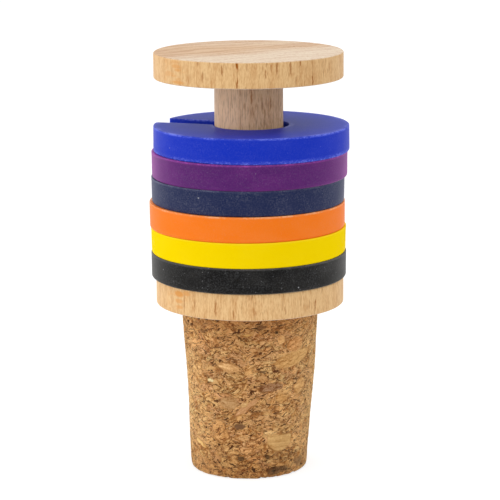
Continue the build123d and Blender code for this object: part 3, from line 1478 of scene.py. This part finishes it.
@dataclass
class CorkPlug:
    """The tapered plug, with the relief of its granules."""

    node: str = "cork_plug"
    slot: str = "cork"
    top_diameter: float = 22.2
    tip_diameter: float = 18.7
    tip_round: float = 0.45
    top_round: float = 0.2
    hole_diameter: float = 8.1
    hole_depth: float = 13.5
    hole_point: float = 2.4
    finish: CorkFinish = CorkFinish()
    granules: GranuleField = field(default_factory=GranuleField)

    # Columns and rows of the mesh
    columns: int = 432
    rows: int = 180
    tip_rows: int = 33
    tip_round_rows: int = 5
    top_round_rows: int = 4
    hole_rows: int = 5
    pinhole: float = 0.02  # radius of the innermost row, which the mesh needs open
    weld: float = 0.0005

    # Grooves between the granules, which gape here and there, and pits in them
    seed: int = 23
    gaping: tuple[Ripple, ...] = (Ripple(1.0, 1.3), Ripple(0.4, 0.5, 9.0))
    gaping_from: Pair = (-0.25, 0.55)
    least_gape: float = 0.15
    groove: Pair = (0.13, 0.02)  # distances from a border
    pits: Ripple = Ripple(1.0, 0.45, 31.0)
    pit_stretch: Triple = (1.0, 1.0, 1.9)
    pitted_from: Pair = (0.52, 0.78)
    groove_depth: float = 0.20
    # painted shade in the grooves and pits, stored for the material
    groove_shade: float = 0.56

    # Relief and tone of the whole plug, with painted light on its left side
    crumbs: tuple[Ripple, ...] = (Ripple(0.05, 0.7, 5.0), Ripple(0.03, 0.28, 71.0))
    proud: float = 0.015  # the most that a crumb stands out, and then all is sunk by it
    sway: Ripple = Ripple(0.05, 6.0, 13.0)  # inwards only, and none at the tip
    sway_from: Pair = (1.0, 3.0)
    squeeze: float = -0.34  # how far bottle mouths have pushed the tip aside
    squeezed_from: Pair = (15.0, 1.5)
    tone: float = 0.95
    clouds: Ripple = Ripple(0.05, 3.5, 19.0)
    # painted light: the plug's left side is lighter
    left_light: float = 0.10
    left_from: Pair = (-4.0, -9.5)

    def section(self, length: float) -> np.ndarray:
        """Half section from the middle of the tip, round the outside, into the blind hole.

        Args:
            length: The plug's length.

        Returns:
            Rows of radius, height, the normal's two parts, and 1 where the surface is ground.
        """
        tip, top, hole = self.tip_diameter / 2, self.top_diameter / 2, self.hole_diameter / 2
        slope = (top - tip) / length
        lean = math.atan(slope)
        low, high = self.tip_round, length - self.top_round
        top_round_radius = tip + slope * high - self.top_round

        def rounded(
            radius: float, height: float, rounding: float, turns: np.ndarray
        ) -> list[tuple[float, ...]]:
            """Rows along a rounded edge, which is less ground the more it faces up."""
            return [
                (radius + rounding * c, height + rounding * s, c, s, 1 - max(0.0, s))
                for c, s in ((math.cos(t), math.sin(t)) for t in turns)
            ]

        flat = np.linspace(self.pinhole, tip - self.tip_round, self.tip_rows)[:-1]
        lower_turns = np.linspace(-math.pi / 2, -lean, self.tip_round_rows)
        wall = np.linspace(low, high, self.rows)[1:-1]
        upper_turns = np.linspace(-lean, math.pi / 2, self.top_round_rows)
        rim = np.linspace(top_round_radius, hole, self.hole_rows)[1:]
        floor = length - self.hole_depth
        down = np.linspace(length, floor, self.hole_rows)[1:]
        half_way = (hole + self.pinhole) / 2, floor - self.hole_point / 2
        point = self.pinhole, floor - self.hole_point
        rows = [(r, 0.0, 0.0, -1.0, 1.0) for r in flat]
        rows += rounded(tip - self.tip_round, low, self.tip_round, lower_turns)
        rows += [(tip + slope * z, z, math.cos(lean), -math.sin(lean), 1.0) for z in wall]
        rows += rounded(top_round_radius, high, self.top_round, upper_turns)
        rows += [(r, length, 0.0, 1.0, 0.0) for r in rim]
        rows += [(hole, z, -1.0, 0.0, 0.0) for z in down]
        rows += [(r, z, 0.0, 1.0, 0.0) for r, z in (half_way, point)]
        return np.array(rows)

    def grooves(
        self, noise: SoftNoise, points: np.ndarray, grown: dict[str, np.ndarray]
    ) -> np.ndarray:
        """How deep the surface lies between granules and in pits.

        Args:
            noise: The plug's noise.
            points: Places on the plug.
            grown: The granules there.

        Returns:
            One value from 0 to 1 for each point.
        """
        gape = smooth_step(*self.gaping_from, noise.layered(points, *self.gaping))
        gape = self.least_gape + (1 - self.least_gape) * gape
        border = smooth_step(*self.groove, grown["gap"]) * gape
        pits = noise.layered(points * self.pit_stretch, self.pits)
        pit = smooth_step(*self.pitted_from, pits) * (1 - grown["plain"])
        return np.maximum(border, pit)

    def build(self) -> bpy.types.Object:
        """Makes the plug's mesh and dresses it."""
        low, high = node_box(self.node)
        section = self.section(high.z - low.z)
        around = compass(np.linspace(0, 2 * math.pi, self.columns, endpoint=False))

        def swept(radius: np.ndarray, height: np.ndarray) -> np.ndarray:
            """A column of the section turned round the axis."""
            flat = radius[:, None, None] * around[None]
            return np.column_stack([flat.reshape(-1, 2), np.repeat(height, self.columns)])

        radius, height, out, up, ground = section.T
        points = swept(radius, height + low.z)
        normal = swept(out, up)
        ground = np.repeat(ground, self.columns)
        grown = self.granules.grow(points)
        noise = SoftNoise(self.seed)
        groove = self.grooves(noise, points, grown)
        relief = noise.layered(points, *self.crumbs) - self.groove_depth * groove
        relief = np.minimum(relief, self.proud) - self.proud
        sway = noise.layered(points, self.sway) - self.sway.height
        relief += sway * smooth_step(*self.sway_from, points[:, 2])
        tone = self.tone + noise.layered(points, self.clouds)
        # painted light on the plug's left side, stored in the granules' colour
        tone += self.left_light * smooth_step(*self.left_from, points[:, 0])
        points = points + normal * (relief * ground)[:, None]
        points[:, 0] += self.squeeze * smooth_step(*self.squeezed_from, points[:, 2])
        points[:, 2] = np.maximum(points[:, 2], low.z)
        shade = np.column_stack([grown["colour"] * tone[:, None], np.ones(len(points))])
        piece = make_piece(
            "agglomerated_cork",
            self.node,
            self.slot,
            points,
            grid_faces(len(section), self.columns),
            {
                "granule": np.clip(shade, 0, 1),
                "grain": grown["grain"],
                "crevice_shade": groove * self.groove_shade,
                "plain": grown["plain"],
            },
            self.weld,
        )
        piece.data.materials.append(self.finish.material())
        return piece


@dataclass
class TurnedSpool:
    """The beech spool, whose solid keeps its shape and takes its finish here."""

    node: str = "turned_spool"
    finish: BeechFinish = BeechFinish()

    def build(self) -> bpy.types.Object:
        """Dresses the solid."""
        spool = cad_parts[self.node]
        beech = self.finish.material()
        for slot in spool.material_slots:
            slot.material = beech
        return spool


@dataclass
class RingStack:
    """The six rings as they lie on one another."""

    rings: list[MarkerRing] = field(
        default_factory=lambda: [
            MarkerRing(RingColour.BLACK, 62, flare=0.6),
            MarkerRing(RingColour.YELLOW, 118, lip=0.03),
            MarkerRing(RingColour.ORANGE, 35, flare=0.6),
            MarkerRing(RingColour.NAVY, 98, slot_width=2.8, lip=0.02),
            MarkerRing(RingColour.PURPLE, 136, lip=0.02, flare=0.7),
            MarkerRing(
                RingColour.BLUE,
                160,
                trim=0.05,
                flare=-0.5,
                curl=0.65,
                droop=0.15,
                rubbed_below=0.9,
            ),
        ]
    )

    def build(self) -> list[bpy.types.Object]:
        """Makes all six."""
        return [ring.build() for ring in self.rings]


@dataclass(frozen=True)
class Softbox:
    """A large soft lamp that looks at the middle of the stopper."""

    name: str
    azimuth: float  # degrees from the front, towards the right
    elevation: float
    distance: float  # in metres, as its width and height are
    width: float
    height: float
    level: float  # its share of plain light on a surface that faces it

    def place(self, target: Vector) -> bpy.types.Object:
        """Makes the lamp.

        Args:
            target: The point that it looks at, in metres.

        Returns:
            The lamp's object.
        """
        lamp = bpy.data.lights.new(self.name, "AREA")
        lamp.shape = "RECTANGLE"
        lamp.size, lamp.size_y = self.width, self.height
        lamp.energy = self.level * math.pi**2 * self.distance**2
        turn, rise = math.radians(self.azimuth), math.radians(self.elevation)
        level = math.cos(rise)
        away = Vector((math.sin(turn) * level, -math.cos(turn) * level, math.sin(rise)))
        piece = add_object(self.name, lamp)
        piece.location = target + away * self.distance
        piece.rotation_euler = away.to_track_quat("Z", "Y").to_euler()
        return piece


@dataclass
class Studio:
    """White studio: the floor, the lamps, the world's light and the camera."""

    camera_back: float = 369.1  # in front of the axis
    camera_height: float = 111.5
    camera_pitch: float = -11.64
    camera_roll: float = -0.396
    lens: float = 169.45
    shift: Pair = (0.00054, -0.0008)
    clip: Pair = (0.01, 20.0)  # in metres
    ambient: float = 0.725
    floor_radius: float = 3.0  # in metres
    floor_sides: int = 96
    floor_white: float = 0.90
    floor_glow: float = 0.72
    floor_dim: float = 0.44  # how white the glowing floor is beside its glow
    softboxes: tuple[Softbox, ...] = (
        Softbox("key_softbox", -62, 13, 0.60, 0.45, 0.34, 0.19),
        Softbox("side_softbox", 100, 12, 0.60, 0.40, 0.60, 0.11),
        Softbox("back_softbox", -125, 20, 0.60, 0.40, 0.60, 0.22),
        Softbox("top_softbox", 20, 78, 0.60, 0.50, 0.50, 0.24),
    )

    def seen(self, bench: Bench) -> Socket:
        """1 for what the camera sees, straight or in a reflection or through glass."""
        path = bench.put("LightPath").outputs
        rays = ("Is Camera Ray", "Is Glossy Ray", "Is Transmission Ray")
        return bench.most(*[path[ray] for ray in rays])

    def light_world(self) -> None:
        """White for the camera, even grey light for the object."""
        world = bpy.data.worlds.new("white_studio")
        bpy.context.scene.world = world
        bench = Bench(world)
        strength = bench.step(self.seen(bench), Rise(0.0, 1.0, self.ambient, 1.0))
        shade = bench.put("Background", {"Color": WHITE, "Strength": strength})
        bench.put("OutputWorld", {"Surface": shade.outputs[0]})

    def lay_floor(self) -> bpy.types.Object:
        """A wide white disc under the stopper, which keeps its shadow."""
        mesh = bpy.data.meshes.new("studio_floor")
        work = bmesh.new()
        bmesh.ops.create_circle(
            work, cap_ends=True, segments=self.floor_sides, radius=self.floor_radius
        )
        work.to_mesh(mesh)
        work.free()
        floor = add_object("studio_floor", mesh)
        bench = Bench.for_material("white_floor")
        plain, dim = (
            bench.put("BsdfDiffuse", {"Color": (white, white, white, 1.0)}).outputs[0]
            for white in (self.floor_white, self.floor_dim)
        )
        glow = bench.put("Emission", {"Color": WHITE, "Strength": self.floor_glow})
        bright = bench.put("AddShader", {0: dim, 1: glow.outputs[0]}).outputs[0]
        mixed = bench.put("MixShader", {0: self.seen(bench), 1: plain, 2: bright})
        mesh.materials.append(bench.finish(mixed.outputs[0]))
        return floor

    def set_camera(self) -> bpy.types.Object:
        """The camera, where the photograph was taken from."""
        camera = bpy.data.cameras.new("photo_camera")
        camera.lens = self.lens
        camera.shift_x, camera.shift_y = self.shift
        camera.clip_start, camera.clip_end = self.clip
        piece = add_object("photo_camera", camera)
        piece.location = Vector((0.0, -self.camera_back, self.camera_height)) * MM
        look = Euler((math.radians(90 + self.camera_pitch), 0.0, 0.0)).to_matrix()
        roll = Matrix.Rotation(math.radians(self.camera_roll), 3, "Z")
        piece.rotation_euler = (look @ roll).to_euler()
        bpy.context.scene.camera = piece
        return piece

    def build(self) -> None:
        """Sets the whole studio up."""
        self.light_world()
        self.lay_floor()
        low, high = cad_box
        middle = Vector((0.0, 0.0, (low[2] + high[2]) / 2))
        for softbox in self.softboxes:
            softbox.place(middle)
        self.set_camera()
        bpy.context.scene.view_settings.view_transform = "Standard"


def main() -> None:
    """Builds the studio and the pieces in order and reports each piece."""
    logging.basicConfig(level=logging.INFO, format="%(message)s", force=True)
    Studio().build()
    pieces = [TurnedSpool().build(), CorkPlug().build(), *RingStack().build()]
    for piece in pieces:
        log.info("%s: %d faces", piece.name, len(piece.data.polygons))


if __name__ == "__main__":
    main()
